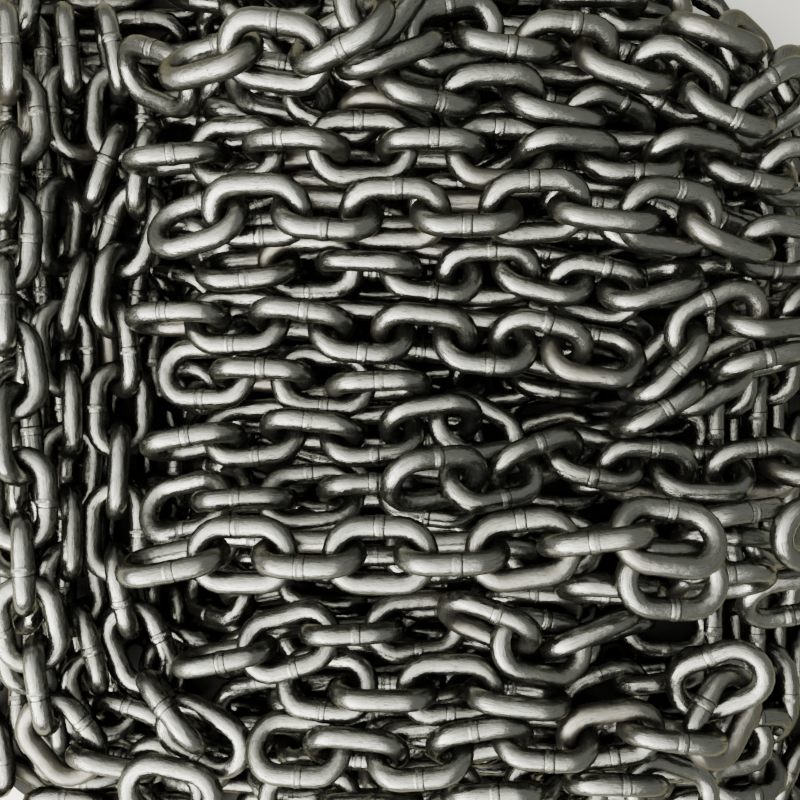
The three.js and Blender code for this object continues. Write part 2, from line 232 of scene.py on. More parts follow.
def link_curve(link):
    """Half a straight leg, the radius of a crown's middle line, and the length once round."""
    half_leg = (link.inner_length - link.outer_width) / 2 + link.wire
    radius = (link.outer_width - link.wire) / 2
    return half_leg, radius, 4 * half_leg + 2 * math.pi * radius


def link_line(link, s):
    """The wire's middle line at the distances s from the weld, in the link's own plane.

    It is a stadium: two straight legs, and two half circles that join them. The weld is at the
    middle of the upper leg. Returns the points, with X along the link and Y across it, and the
    unit directions in which the plane's curve faces outwards.
    """
    half_leg, radius, lap = link_curve(link)
    arc = math.pi * radius
    s = np.mod(s, lap)
    ends = np.cumsum([half_leg, arc, 2 * half_leg, arc])
    turn_east = np.clip((s - ends[0]) / radius, 0, math.pi)
    turn_west = np.clip((s - ends[2]) / radius, 0, math.pi)
    turn = turn_east + turn_west
    out = np.stack([np.sin(turn), np.cos(turn)], axis=-1)
    straight = (
        np.minimum(s, ends[0])
        - np.clip(s - ends[1], 0, 2 * half_leg)
        + np.maximum(s - ends[3], 0)
    )
    return np.stack([straight, np.zeros_like(s)], axis=-1) + radius * out, out


def link_stations(link, crown_steps, weld_rings):
    """Distances from the weld at which the wire's rings stand: close together at the weld, even
    in the crowns, and one in the middle of the plain leg."""
    half_leg, radius, lap = link_curve(link)
    near = np.array(weld_rings) * MM
    crown = half_leg + math.pi * radius * np.arange(crown_steps + 1) / crown_steps
    side = np.concatenate([near, crown])
    return np.concatenate([side, [lap / 2], lap - side[::-1][: len(side) - (near[0] == 0)]])


def link_surface(link, links, cut, rng):
    """The surface of all the links of a strand, as one grid of rings for each link.

    A ring's radius is half the wire, plus a flat collar at the weld that falls off with the sixth
    power of the distance, less a narrow bell at each edge of the collar for the groove there,
    plus a slow wave, two round the wire and three along it, for its unevenness.
    Each link's weld is off the middle of its leg by its own small distance.
    links is an array of places: centre, direction along the link, direction across it. cut is
    the facets round the wire, the steps round a crown and the rings near the weld.
    Returns points (link, ring, side, 3), each point's place on the straightened wire, and each
    link's own random numbers, one for its tint and one for its wear.
    """
    sides, crown_steps, weld_rings = cut
    s = link_stations(link, crown_steps, weld_rings)
    lap = link_curve(link)[2]
    from_weld = np.minimum(s, lap - s)
    round_angle = 2 * math.pi * (np.arange(sides) + 0.5) / sides
    own = rng.random((len(links), 4))
    line, out = link_line(link, s + link.weld_stray * (2 * own[:, 1:2] - 1))
    collar = link.collar * (COLLAR_LEAST + COLLAR_SPREAD * own[:, 0])
    bell = 1 / (1 + (from_weld / link.weld) ** 6)
    line_bell = np.exp(-(((from_weld - link.weld) / link.groove_width) ** 2))
    phase = 2 * math.pi * own[:, 1]
    wave = UNEVENNESS * np.sin(
        2 * round_angle[None, None, :]
        + 3 * 2 * math.pi * s[None, :, None] / lap
        + phase[:, None, None]
    )
    ring = (
        link.wire / 2 * (1 + wave)
        + collar[:, None, None] * bell[None, :, None]
        - link.groove * line_bell[None, :, None]
    )
    side_out = ring * np.cos(round_angle)
    side_up = ring * np.sin(round_angle)
    flat = line[:, :, None, :] + side_out[..., None] * out[:, :, None, :]
    centre, along, across = links[:, 0], links[:, 1], links[:, 2]
    up = np.cross(along, across)
    points = (
        centre[:, None, None, :]
        + flat[..., :1] * along[:, None, None, :]
        + flat[..., 1:] * across[:, None, None, :]
        + side_up[..., None] * up[:, None, None, :]
    )
    wire = np.stack([np.broadcast_to(s[None, :, None], ring.shape), side_out, side_up], axis=-1)
    return points, wire, own[:, 2:]


def ring_quads(links, rings, sides):
    """Corner numbers of the faces of closed rings of rings: each face joins two neighbours on a
    ring with the same two on the next ring, and both directions close on themselves."""
    ring = np.arange(rings)[:, None]
    side = np.arange(sides)[None, :]
    ahead, beside = (ring + 1) % rings, (side + 1) % sides
    one = np.stack(
        [ring * sides + side, ring * sides + beside, ahead * sides + beside, ahead * sides + side],
        axis=-1,
    ).reshape(-1, 4)
    start = np.arange(links)[:, None, None] * rings * sides
    return (start + one).reshape(-1, 4)


# Meshes


def add_object(name, data, place=(0, 0, 0)):
    """A new object in the scene."""
    made = bpy.data.objects.new(name, data)
    made.location = place
    bpy.context.scene.collection.objects.link(made)
    return made


def new_piece(name, points, quads, material, replaced, attributes=None):
    """A smooth closed mesh from arrays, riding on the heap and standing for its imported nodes."""
    mesh = bpy.data.meshes.new(name)
    mesh.vertices.add(len(points))
    mesh.vertices.foreach_set("co", np.ascontiguousarray(points, np.float32).ravel())
    mesh.loops.add(4 * len(quads))
    mesh.loops.foreach_set("vertex_index", np.ascontiguousarray(quads, np.int32).ravel())
    mesh.polygons.add(len(quads))
    mesh.polygons.foreach_set("loop_start", np.arange(0, 4 * len(quads), 4, dtype=np.int32))
    mesh.update(calc_edges=True)
    mesh.validate()
    mesh.shade_smooth()
    for key, values in (attributes or {}).items():
        if values.ndim == 2:
            layer = mesh.attributes.new(key, "FLOAT_VECTOR", "POINT")
            layer.data.foreach_set("vector", np.ascontiguousarray(values, np.float32).ravel())
        else:
            layer = mesh.attributes.new(key, "FLOAT", "POINT")
            layer.data.foreach_set("value", np.ascontiguousarray(values, np.float32))
    mesh.materials.append(material)
    piece = add_object(name, mesh)
    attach(piece, "root")
    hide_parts(*replaced)
    return piece


def chain_piece(name, link, links, cut, rng, material, replaced):
    """One piece of chain: its links' surfaces, with the wire's own coordinates and each link's
    tint and wear as attributes."""
    if len(links) == 0:
        raise RuntimeError(f"{name} has no links")
    points, wire, own = link_surface(link, links, cut, rng)
    count, rings, sides = points.shape[:3]
    quads = ring_quads(count, rings, sides)
    each = rings * sides
    attributes = {
        "wire_place": wire.reshape(-1, 3),
        "link_tint": np.repeat(own[:, 0], each),
        "link_wear": np.repeat(own[:, 1], each),
    }
    return new_piece(
        name, points.reshape(-1, 3), quads, material, replaced, attributes
    )


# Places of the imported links


def triangles(node):
    """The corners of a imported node's triangles, as an array (triangle, corner, 3)."""
    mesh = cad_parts[node].data
    mesh.calc_loop_triangles()
    points = np.empty(len(mesh.vertices) * 3, np.float32)
    mesh.vertices.foreach_get("co", points)
    corners = np.empty(len(mesh.loop_triangles) * 3, np.int32)
    mesh.loop_triangles.foreach_get("vertices", corners)
    return points.reshape(-1, 3).astype(float)[corners].reshape(-1, 3, 3)


def leg_edges(corners, leg):
    """Middles and directions of the edges that are as long as a link's straight leg: the edges
    of a packed leg's flat sides, each taken once."""
    edges = np.concatenate([corners[:, [0, 1]], corners[:, [1, 2]], corners[:, [2, 0]]])
    run = edges[:, 1] - edges[:, 0]
    length = np.linalg.norm(run, axis=1)
    fits = np.abs(length - leg) < EDGE_TOLERANCE
    middle = edges[fits].mean(axis=1)
    run = run[fits] / length[fits, None]
    apart = np.linalg.norm(middle[:, None] - middle[None], axis=2)
    same = (apart < SAME_PLACE) & (np.abs(run @ run.T) > PARALLEL)
    first = same.argmax(axis=1) == np.arange(len(middle))
    return middle[first], run[first]


def leg_axes(middle, run):
    """Middle and direction of each leg. Edges that are parallel, level with each other and close
    belong to one leg; every edge takes the lowest number among its own group until all agree.
    Where all of a leg's edges are there, its axis is at their mean. Where some are lost in a
    bearing, it is the centre of the circle through their middles, which solves
    |q|^2 = 2 q.c + k for c and k by least squares."""
    count = len(middle)
    offset = middle[:, None] - middle[None]
    level = np.abs(np.einsum("ijk,ik->ij", offset, run)) < LEVEL
    near = np.linalg.norm(offset, axis=2) < LEG_REACH
    joined = near & level & (np.abs(run @ run.T) > PARALLEL)
    label = np.arange(count)
    for _ in range(LABEL_ROUNDS):
        label = np.where(joined, label[None, :], count).min(axis=1)
    axes = []
    for group in np.unique(label):
        points, direction = middle[label == group], run[label == group][0]
        if len(points) < FEWEST_SIDES:
            continue
        centre = points.mean(axis=0)
        if len(points) < PACKED_SIDES:
            side = np.cross(direction, OFF_AXIS)
            side /= np.linalg.norm(side)
            plane = np.stack([side, np.cross(direction, side)])
            flat = (points - centre) @ plane.T
            system = np.column_stack([2 * flat, np.ones(len(flat))])
            answer = np.linalg.lstsq(system, (flat**2).sum(axis=1), rcond=None)[0]
            centre = centre + answer[:2] @ plane
        axes.append((centre, direction))
    return axes


def packed_links(node, link):
    """Places of a packed strand's links: two parallel legs that lie a link's width apart make a
    link. Returns (link, 3, 3): centre, direction along, and direction across, which points up."""
    leg = link.inner_length - link.outer_width + 2 * link.wire
    width = link.outer_width - link.wire
    axes = leg_axes(*leg_edges(triangles(node), leg))
    pairs = []
    for i, (first, run) in enumerate(axes):
        for j in range(i + 1, len(axes)):
            gap = axes[j][0] - first
            span = np.linalg.norm(gap)
            level = abs(gap @ run) < PAIR_TOLERANCE and abs(axes[j][1] @ run) > PARALLEL_LEGS
            if level and abs(span - width) < PAIR_TOLERANCE:
                pairs.append((abs(span - width), i, j))
    # The best fitting pairs come first, and a leg belongs to one link only
    taken, found = set(), []
    for _, i, j in sorted(pairs):
        if i in taken or j in taken:
            continue
        taken |= {i, j}
        gap = axes[j][0] - axes[i][0]
        across = gap / np.linalg.norm(gap) * (1 if gap[2] >= 0 else -1)
        along = axes[i][1] - (axes[i][1] @ across) * across
        centre = (axes[i][0] + axes[j][0]) / 2
        found.append([centre, along / np.linalg.norm(along), across])
    if not found:
        raise RuntimeError(f"no links were found in {node}")
    return np.array(found)


# The mound


class Terrain:
    """Heights over an even grid, read between its points by the four nearest."""

    def __init__(self, low, step, heights):
        self.low, self.step, self.heights = low, step, heights

    def at(self, x, y):
        """Height at (x, y), weighted by the distances to the grid's four nearest points."""
        last = np.array(self.heights.shape) - 1 - EDGE_ROOM
        u = np.clip((x - self.low[0]) / self.step, 0, last[0])
        v = np.clip((y - self.low[1]) / self.step, 0, last[1])
        i, j = u.astype(int), v.astype(int)
        du, dv = u - i, v - j
        h = self.heights
        return (
            h[i, j] * (1 - du) * (1 - dv)
            + h[i + 1, j] * du * (1 - dv)
            + h[i, j + 1] * (1 - du) * dv
            + h[i + 1, j + 1] * du * dv
        )

    def lowered(self, drop):
        """The same surface, further down by drop."""
        return Terrain(self.low, self.step, self.heights - drop)

    def sunk(self, depth):
        """The surface that a ball of this radius rolls its centre over, pressed against the
        mound from below: the least of height minus the ball's own height, over its disc."""
        reach = int(depth / self.step) + 1
        wide = np.pad(self.heights, reach)
        lowest = np.full(self.heights.shape, np.inf)
        rows, columns = self.heights.shape
        for i in range(-reach, reach + 1):
            for j in range(-reach, reach + 1):
                rest = depth**2 - (i * i + j * j) * self.step**2
                if rest < 0:
                    continue
                moved = wide[reach + i : reach + i + rows, reach + j : reach + j + columns]
                lowest = np.minimum(lowest, moved - math.sqrt(rest))
        return Terrain(self.low, self.step, lowest)


def mound_terrain():
    """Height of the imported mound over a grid. Each upward triangle gives the height of its plane
    at the grid points inside it, where all three corner weights are positive."""
    step = GRID_STEP
    corners = triangles(MOUND)
    a, b, c = corners[:, 0], corners[:, 1], corners[:, 2]
    area = (b[:, 0] - a[:, 0]) * (c[:, 1] - a[:, 1]) - (b[:, 1] - a[:, 1]) * (c[:, 0] - a[:, 0])
    upward = area > LEAST_AREA
    a, b, c, area = a[upward], b[upward], c[upward], area[upward]
    low = corners[..., :2].min(axis=(0, 1)) - step
    high = corners[..., :2].max(axis=(0, 1)) + step
    xs = np.arange(low[0], high[0] + step, step)
    ys = np.arange(low[1], high[1] + step, step)
    heights = np.zeros((len(xs), len(ys)))
    for i, x in enumerate(xs):
        dx, dy = x - a[:, 0], ys[:, None] - a[:, 1]
        wb = (dx * (c[:, 1] - a[:, 1]) - dy * (c[:, 0] - a[:, 0])) / area
        wc = (dy * (b[:, 0] - a[:, 0]) - dx * (b[:, 1] - a[:, 1])) / area
        inside = (wb >= -CORNER_SLACK) & (wc >= -CORNER_SLACK) & (wb + wc <= 1 + CORNER_SLACK)
        z = a[:, 2] + wb * (b[:, 2] - a[:, 2]) + wc * (c[:, 2] - a[:, 2])
        heights[i] = np.where(inside, z, 0).max(axis=1)
    return Terrain(low, step, heights)


# The buried chain


def links_on_path(path, pitch, roll, rng):
    """Links threaded along a path: centres every pitch of its length, each link along the path's
    direction there, turned a quarter from the one before, give or take a few degrees. roll is the
    first link's turn and the turns' spread, in degrees. A path that ends where it starts gets an
    even number of links, spread evenly."""
    steps = np.linalg.norm(np.diff(path, axis=0), axis=1)
    length = np.concatenate([[0], np.cumsum(steps)])
    lap = length[-1]
    closed = np.allclose(path[0], path[-1])
    if closed:
        count = 2 * round(lap / pitch / 2)
        stops = lap / count * np.arange(count)
    else:
        stops = np.arange(0.5 * pitch, lap - 0.4 * pitch, pitch)

    def at(distance):
        distance = np.mod(distance, lap) if closed else distance
        return np.stack([np.interp(distance, length, path[:, k]) for k in range(3)], axis=-1)

    along = at(stops + pitch / 2) - at(stops - pitch / 2)
    along /= np.linalg.norm(along, axis=1, keepdims=True)
    level = np.cross([0.0, 0.0, 1.0], along)
    level /= np.linalg.norm(level, axis=1, keepdims=True)
    upright = np.cross(along, level)
    start, spread = roll
    turn = np.radians(start + 90 * (np.arange(len(stops)) % 2) + rng.normal(0, spread, len(stops)))
    across = np.cos(turn)[:, None] * level + np.sin(turn)[:, None] * upright
    return np.stack([at(stops), along, across], axis=1)


def undersides(link, links):
    """The lowest height of each link: its centre's, less the reach down of its middle line, which
    is a half leg's slope and the crown's radius in the link's plane, less half the wire."""
    half_leg, radius, _ = link_curve(link)
    slope, tilt = links[:, 1, 2], links[:, 2, 2]
    return links[:, 0, 2] - half_leg * abs(slope) - radius * np.hypot(slope, tilt) - link.wire / 2


def strand_path(terrain, lowest, start, end, sway, rng):
    """A path over the terrain from start to end, two points of the floor plan. It sways sideways
    in slow sine waves of random strength and phase, and goes no deeper than the lowest height."""
    t = np.linspace(0, 1, PATH_POINTS)
    run = np.array(end) - np.array(start)
    length = np.linalg.norm(run)
    side = np.array([-run[1], run[0]]) / length
    waves = sum(
        rng.uniform(0.3, 1) * np.sin(2 * math.pi * (t * length / wave + rng.random()))
        for wave in SWAY_WAVES
    )
    plan = np.array(start) + t[:, None] * run + (sway * waves)[:, None] * side
    return np.column_stack([plan, np.maximum(terrain.at(plan[:, 0], plan[:, 1]), lowest)])


def buried_strand(surface, lowest, ends, heap, rng):
    """Loose links along a swaying path over the surface, between two points of the floor plan."""
    path = strand_path(surface, lowest, *ends, heap.sway, rng)
    roll = (rng.uniform(0, 90), TURN_SPREAD)
    return links_on_path(path, heap.slack_pitch, roll, rng)


def buried_layers(seat, heap, rng):
    """The buried rows and the buried columns, in layers one under the other. Each layer starts a
    little further in than the one above it. The columns lie on the shelf at the left, and the
    rows run from its edge to the right."""
    low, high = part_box(MOUND)
    shelf_edge = low[0] + SHELF_WIDTH
    rows, columns = [], []
    for layer in range(LAYERS):
        drop = layer * heap.layer
        lowest = LOWEST_AXIS - drop
        first = FIRST_STRAND + drop / 2
        surface = seat.lowered(drop)
        for y in np.arange(low[1] + first, high[1] - LAST_ROW, heap.row_spacing):
            ends = (shelf_edge - ROW_OVERLAP, y), (high[0] - STRAND_END, y)
            rows.append(buried_strand(surface, lowest, ends, heap, rng))
        surface = surface.lowered(heap.column_depth)
        for x in np.arange(low[0] + first, shelf_edge + COLUMN_OVERLAP, heap.row_spacing):
            ends = (x, low[1] + STRAND_END), (x, high[1] - STRAND_END)
            columns.append(buried_strand(surface, lowest, ends, heap, rng))
    return np.concatenate(rows), np.concatenate(columns)


def inset_outline(inset):
    """The outline of the mound's base, moved in, as points at even distances that end where they
    start. Each of its sides is moved in by the inset, and the new corners are where neighbouring
    sides then meet: a corner moves by inset (n + m) / (1 + n.m), n and m being the outward
    directions of its two sides."""
    corners = triangles(MOUND).reshape(-1, 3)
    base = np.unique(np.round(corners[corners[:, 2] < ON_FLOOR, :2], CORNER_DIGITS), axis=0)
    middle = (base.min(axis=0) + base.max(axis=0)) / 2
    turn = np.arctan2(*(base - middle).T[::-1])
    base = base[np.argsort(turn)]
    run = np.roll(base, -1, axis=0) - base
    base = base[np.cross(np.roll(run, 1, axis=0), run) > LEAST_TURN]
    run = np.roll(base, -1, axis=0) - base
    run /= np.linalg.norm(run, axis=1, keepdims=True)
    outward = np.column_stack([run[:, 1], -run[:, 0]])
    before = np.roll(outward, 1, axis=0)
    shift = (outward + before) / (1 + (outward * before).sum(axis=1, keepdims=True))
    plan = base - inset * shift
    plan = np.vstack([plan, plan[:1]])
    steps = np.linalg.norm(np.diff(plan, axis=0), axis=1)
    length = np.concatenate([[0], np.cumsum(steps)])
    even = np.linspace(0, length[-1], BORDER_POINTS)
    return np.column_stack([np.interp(even, length, plan[:, k]) for k in range(2)])


def border_links(seat, heap, rng):
    """The strands that lie round the heap's foot, one inside the other and the inner ones higher
    up its flank, and the points of their paths on the floor plan."""
    plans = [inset_outline(inset) for inset in BORDER_INSETS]
    links = []
    for plan in plans:
        height = np.maximum(seat.at(plan[:, 0], plan[:, 1]) - BORDER_DEPTH, LOWEST_AXIS)
        path = np.column_stack([plan, height])
        links.append(links_on_path(path, heap.slack_pitch, BORDER_TURN, rng))
    return np.concatenate(links), np.concatenate(plans)


def clear_of_border(link, links, foot):
    """The links that don't reach far through the floor and, low down, are clear of the border."""
    centre = links[:, 0]
    away = np.linalg.norm(centre[:, None, :2] - foot[None], axis=2).min(axis=1)
    above = undersides(link, links) > -DEEPEST_SINK
    return links[above & ((away > BORDER_CLEARANCE) | (centre[:, 2] > BORDER_TOP))]


def heart_piece(ground, outline, material):
    """The heart of the heap, under the buried chain: a near-black body that stands as painted
    shade in the gaps. It is the mound's surface sunk well below it, over a flat base, both on
    one grid whose edge rows meet. The grid is a square whose nested square rings are stretched
    from the middle to the outline's shape."""
    sunk = ground.sunk(HEART_DEPTH)
    middle = (outline.min(axis=0) + outline.max(axis=0)) / 2
    reach = outline[:-1] - middle
    bearing = np.arctan2(reach[:, 1], reach[:, 0])
    distance = np.hypot(reach[:, 0], reach[:, 1])
    count = HEART_CELLS + 1
    even = np.linspace(-1, 1, count)
    u, v = np.meshgrid(even, even, indexing="ij")
    turn = np.arctan2(v, u)
    far = np.maximum(abs(u), abs(v)) * np.interp(turn, bearing, distance, period=2 * math.pi)
    x, y = middle[0] + far * np.cos(turn), middle[1] + far * np.sin(turn)
    top = np.maximum(sunk.at(x, y) - HEART_SINK, HEART_EDGE)
    base = np.full_like(top, HEART_BASE)
    points = np.concatenate([np.stack([x, y, z], -1).reshape(-1, 3) for z in (top, base)])
    number = np.arange(count * count).reshape(count, count)
    upper = np.stack(
        [number[:-1, :-1], number[1:, :-1], number[1:, 1:], number[:-1, 1:]], -1
    ).reshape(-1, 4)
    edge = np.concatenate([number[0], number[1:, -1], number[-1, -2::-1], number[-2:0:-1, 0]])
    ahead = np.roll(edge, -1)
    below = count * count
    wall = np.stack([edge, ahead, ahead + below, edge + below], -1)
    quads = np.concatenate([upper, upper[:, ::-1] + below, wall])
    return new_piece("buried_heart", points, quads, material, [MOUND])


# Materials


def empty_material(name):
    """A material with no shader nodes, and its node tree."""
    material = bpy.data.materials.new(name)
    material.use_nodes = True
    material.node_tree.nodes.clear()
    return material, material.node_tree


def shared_material(name, make, *settings):
    """The material of this name, made once."""
    return bpy.data.materials.get(name) or make(name, *settings)


def opaque(colour, share=1.0):
    """A colour, made darker or paler by share, with a full alpha."""
    return tuple(share * c for c in colour) + (1.0,)


def node(tree, kind, **inputs):
    """A shader node with its sockets set: a value is set on the socket, a socket is linked. A key
    that starts with p_ is a property of the node, i0 is its first socket, and any other key is a
    socket's name."""
    made = tree.nodes.new(kind)
    for key, value in inputs.items():
        if key.startswith("p_"):
            setattr(made, key[2:], value)
            continue
        numbered = key[0] == "i" and key[1:].isdigit()
        socket = made.inputs[int(key[1:]) if numbered else key.replace("_", " ")]
        if isinstance(value, bpy.types.NodeSocket):
            tree.links.new(value, socket)
        else:
            socket.default_value = value
    return made


def maths(tree, operation, a, b=0.0):
    """One sum of two numbers or sockets."""
    return node(tree, "ShaderNodeMath", p_operation=operation, i0=a, i1=b).outputs[0]


def weighted(tree, value, weight):
    """A value times a weight."""
    return maths(tree, "MULTIPLY", value, weight)


def ramp(tree, value, low, high, to_low=0.0, to_high=1.0):
    """A smooth step of value from low to high, from one number to another."""
    return node(
        tree, "ShaderNodeMapRange", p_interpolation_type="SMOOTHSTEP", i0=value, i1=low, i2=high,
        i3=to_low, i4=to_high,
    ).outputs[0]


def blend(tree, share, a, b):
    """Colour b laid over colour a by share."""
    return node(
        tree, "ShaderNodeMix", p_data_type="RGBA", i0=share, i6=a, i7=b,
    ).outputs[2]


def noise(tree, place, scale, detail, roughness):
    """Cloudy noise, from 0 to 1 about 0.5. A scale of three numbers draws it out or squeezes it
    along each axis, for a pattern that runs with the wire."""
    if isinstance(scale, tuple):
        place = node(tree, "ShaderNodeMapping", i0=place, i3=scale).outputs[0]
        scale = 1.0
    return node(
        tree, "ShaderNodeTexNoise", i0=place, i2=scale, i3=detail, i4=roughness,
    ).outputs[0]


def own_marks_place(tree, place, tint):
    """The place on the wire, shifted along it by the link's own number, so that no two links
    have the same marks."""
    shift = node(tree, "ShaderNodeCombineXYZ", X=tint).outputs[0]
    return node(
        tree, "ShaderNodeVectorMath", p_operation="MULTIPLY_ADD", i0=shift, i1=(0.9, 0.0, 0.0),
        i2=place,
    ).outputs[0]


def weld_seam(tree, link, along, patches, pits, tint):
    """The wavering dark lines at the weld collar's edges: one on every link, at the first edge,
    and on some links a second one. Pits break them."""
    lap = link_curve(link)[2]
    waver = weighted(tree, maths(tree, "SUBTRACT", patches, 0.5), 1.5 * MM)
    wavering = maths(tree, "ADD", along, waver)
    lines = []
    for edge in (link.weld, lap - link.weld):
        away = maths(tree, "ABSOLUTE", maths(tree, "SUBTRACT", wavering, edge))
        lines.append(ramp(tree, away, 0.12 * MM, 0.4 * MM, 1.0, 0.0))
    second = weighted(tree, lines[1], ramp(tree, tint, 0.6, 0.8))
    seam = maths(tree, "MAXIMUM", lines[0], second)
    return weighted(tree, seam, ramp(tree, pits, 0.3, 0.55, 0.45, 0.95))


def steel_material(name, link, finish):
    """Oiled black steel wire: drawing marks along it, dark dashes and pits, the weld's brighter
    band with a dark line at one edge or both, a brown film at some links' ends, and painted
    shade that darkens the colour towards the floor."""
    material, tree = empty_material(name)
    place = node(tree, "ShaderNodeAttribute", p_attribute_name="wire_place").outputs[1]
    tint = node(tree, "ShaderNodeAttribute", p_attribute_name="link_tint").outputs[2]
    wear = node(tree, "ShaderNodeAttribute", p_attribute_name="link_wear").outputs[2]
    objects = node(tree, "ShaderNodeTexCoord").outputs[3]
    height = node(tree, "ShaderNodeSeparateXYZ", i0=objects).outputs[2]
    along = node(tree, "ShaderNodeSeparateXYZ", i0=place).outputs[0]
    lap = link_curve(link)[2]
    from_weld = maths(tree, "MINIMUM", along, maths(tree, "SUBTRACT", lap, along))

    # Patterns: the first three run with the wire
    own_place = own_marks_place(tree, place, tint)
    marks = noise(tree, own_place, (110, 2300, 2300), 4.0, 0.6)
    dashes = noise(tree, own_place, (190, 1500, 1500), 5.0, 0.65)
    dents = noise(tree, own_place, (260, 500, 500), 3.0, 0.5)
    pits = noise(tree, objects, 1000.0, 3.0, 0.6)
    patches = noise(tree, objects, 75.0, 4.0, 0.6)
    film = noise(tree, objects, 25.0, 3.0, 0.6)

    # Shares: how much of each thing there is at a place, from 0 to 1
    seam = weld_seam(tree, link, along, patches, pits, tint)
    band = ramp(tree, from_weld, link.weld - link.groove_width, link.weld, 1.0, 0.0)
    filmed = weighted(tree, ramp(tree, wear, 0.5, 0.9), ramp(tree, film, 0.4, 0.64))
    rusty = weighted(tree, ramp(tree, from_weld, 14 * MM, 30 * MM), filmed)
    dark = maths(tree, "MAXIMUM", ramp(tree, dashes, 0.56, 0.64), ramp(tree, pits, 0.62, 0.7))
    dark = weighted(tree, dark, ramp(tree, patches, 0.36, 0.6, 0.2, 1.0))
    # Painted shade: the colour darkens towards the floor, so that the low links and the gaps read
    # darker
    painted_low_shade = ramp(tree, height, 10 * MM, 72 * MM, 0.62, 0.0)

    pale = opaque(finish.steel, 1.25)
    colour = blend(tree, ramp(tree, marks, 0.35, 0.7), opaque(finish.steel), pale)
    colour = blend(tree, weighted(tree, band, 0.6), colour, pale)
    colour = blend(tree, weighted(tree, rusty, 0.5), colour, opaque(finish.rust))
    colour = blend(tree, weighted(tree, dark, 0.85), colour, opaque(finish.scale))
    colour = blend(tree, painted_low_shade, colour, opaque(finish.scale))
    colour = blend(tree, seam, colour, opaque(finish.seam))
    roughness = ramp(tree, patches, 0.3, 0.7, 0.15, 0.26)
    for share in (dark, rusty):
        roughness = maths(tree, "ADD", roughness, weighted(tree, share, 0.2))
    relief = dashes
    for pattern, weight in ((marks, 0.6), (dark, -0.3), (dents, 2.5), (patches, 3.0)):
        relief = maths(tree, "ADD", relief, weighted(tree, pattern, weight))
    bump = node(tree, "ShaderNodeBump", Strength=0.5, Distance=0.2 * MM, Height=relief).outputs[0]
    shader = node(
        tree, "ShaderNodeBsdfPrincipled", Base_Color=colour, Roughness=roughness, Normal=bump,
        Metallic=0.988, Specular_Tint=(0.45, 0.44, 0.39, 1.0),
    )
    node(tree, "ShaderNodeOutputMaterial", i0=shader.outputs[0])
    return material


def shade_sheet_material(name, finish):
    """Painted shade: near-black with faint clouds, for the bottom of the heap's gaps, where there
    is only shade.
    """
    material, tree = empty_material(name)
    place = node(tree, "ShaderNodeTexCoord").outputs[3]
    cloud = noise(tree, place, 90.0, 5.0, 0.6)
    grain = noise(tree, place, 1400.0, 2.0, 0.5)
    # Two depths of painted shade, made from the mill scale's colour
    black, paler_shade = opaque(finish.scale, 0.3), opaque(finish.scale, 0.6)
    colour = blend(tree, ramp(tree, cloud, 0.35, 0.65), black, paler_shade)
    height = maths(tree, "ADD", cloud, weighted(tree, grain, 0.3))
    bump = node(tree, "ShaderNodeBump", Strength=0.6, Distance=1.5 * MM, Height=height).outputs[0]
    shader = node(
        tree, "ShaderNodeBsdfPrincipled", Base_Color=colour, Roughness=0.7, Normal=bump,
        Specular_IOR_Level=0.05,
    )
    node(tree, "ShaderNodeOutputMaterial", i0=shader.outputs[0])
    return material


def floor_material(name, finish):
    """Pale worn floor: faint clouds of colour and a fine grain. Well away from the heap it turns
    into the pale backdrop for the camera, so that no far edge shows."""
    material, tree = empty_material(name)
    place = node(tree, "ShaderNodeTexCoord").outputs[3]
    cloud = noise(tree, place, 3.0, 4.0, 0.6)
    grain = noise(tree, place, 260.0, 2.0, 0.5)
    dull, pale = opaque(finish.floor, 0.93), opaque(finish.floor)
    colour = blend(tree, ramp(tree, cloud, 0.35, 0.65), dull, pale)
    bump = node(tree, "ShaderNodeBump", Strength=0.15, Distance=0.4 * MM, Height=grain).outputs[0]
    shader = node(
        tree, "ShaderNodeBsdfPrincipled", Base_Color=colour, Roughness=0.55, Normal=bump
    )
    backdrop = node(tree, "ShaderNodeEmission", Color=BACKDROP, Strength=BACKDROP_GLOW)
    away = node(tree, "ShaderNodeVectorMath", p_operation="LENGTH", i0=place).outputs["Value"]
    seen = node(tree, "ShaderNodeLightPath").outputs[0]
    share = weighted(tree, ramp(tree, away, 0.5, 1.8), seen)
    mix = node(
        tree, "ShaderNodeMixShader", i0=share, i1=shader.outputs[0], i2=backdrop.outputs[0]
    )
    node(tree, "ShaderNodeOutputMaterial", i0=mix.outputs[0])
    return material


def panel_glow(tree):
    """The panel's light fades across it: it is full at one corner and weak at the opposite one."""
    tree.nodes.clear()
    spot = node(tree, "ShaderNodeNewGeometry").outputs["Parametric"]
    spot = node(tree, "ShaderNodeSeparateXYZ", i0=spot)
    across = ramp(tree, spot.outputs[0], 0.0, 0.95, 1.0, 0.2)
    down = ramp(tree, spot.outputs[1], -0.08, 0.85, 1.0, 0.06)
    glow = node(tree, "ShaderNodeEmission", Strength=weighted(tree, across, down))
    node(tree, "ShaderNodeOutputLight", i0=glow.outputs[0])


def studio_world(tree):
    """A pale backdrop for the camera, and a dim dark room for everything else."""
    tree.nodes.clear()
    seen = node(tree, "ShaderNodeLightPath").outputs[0]
    dim = node(tree, "ShaderNodeBackground", Color=ROOM_COLOUR, Strength=ROOM_GLOW)
    pale = node(tree, "ShaderNodeBackground", Color=BACKDROP, Strength=BACKDROP_GLOW)
    mix = node(tree, "ShaderNodeMixShader", i0=seen, i1=dim.outputs[0], i2=pale.outputs[0])
    node(tree, "ShaderNodeOutputWorld", i0=mix.outputs[0])


# Stage


def overhead_camera():
    """The camera, which looks straight down on the heap."""
    camera = bpy.data.cameras.new("overhead_camera")
    camera.sensor_width = SENSOR
    camera.lens = SENSOR * FOCAL_RATIO
    camera.clip_start = NEAREST_SEEN
    return add_object("overhead_camera", camera, CAMERA_PLACE)


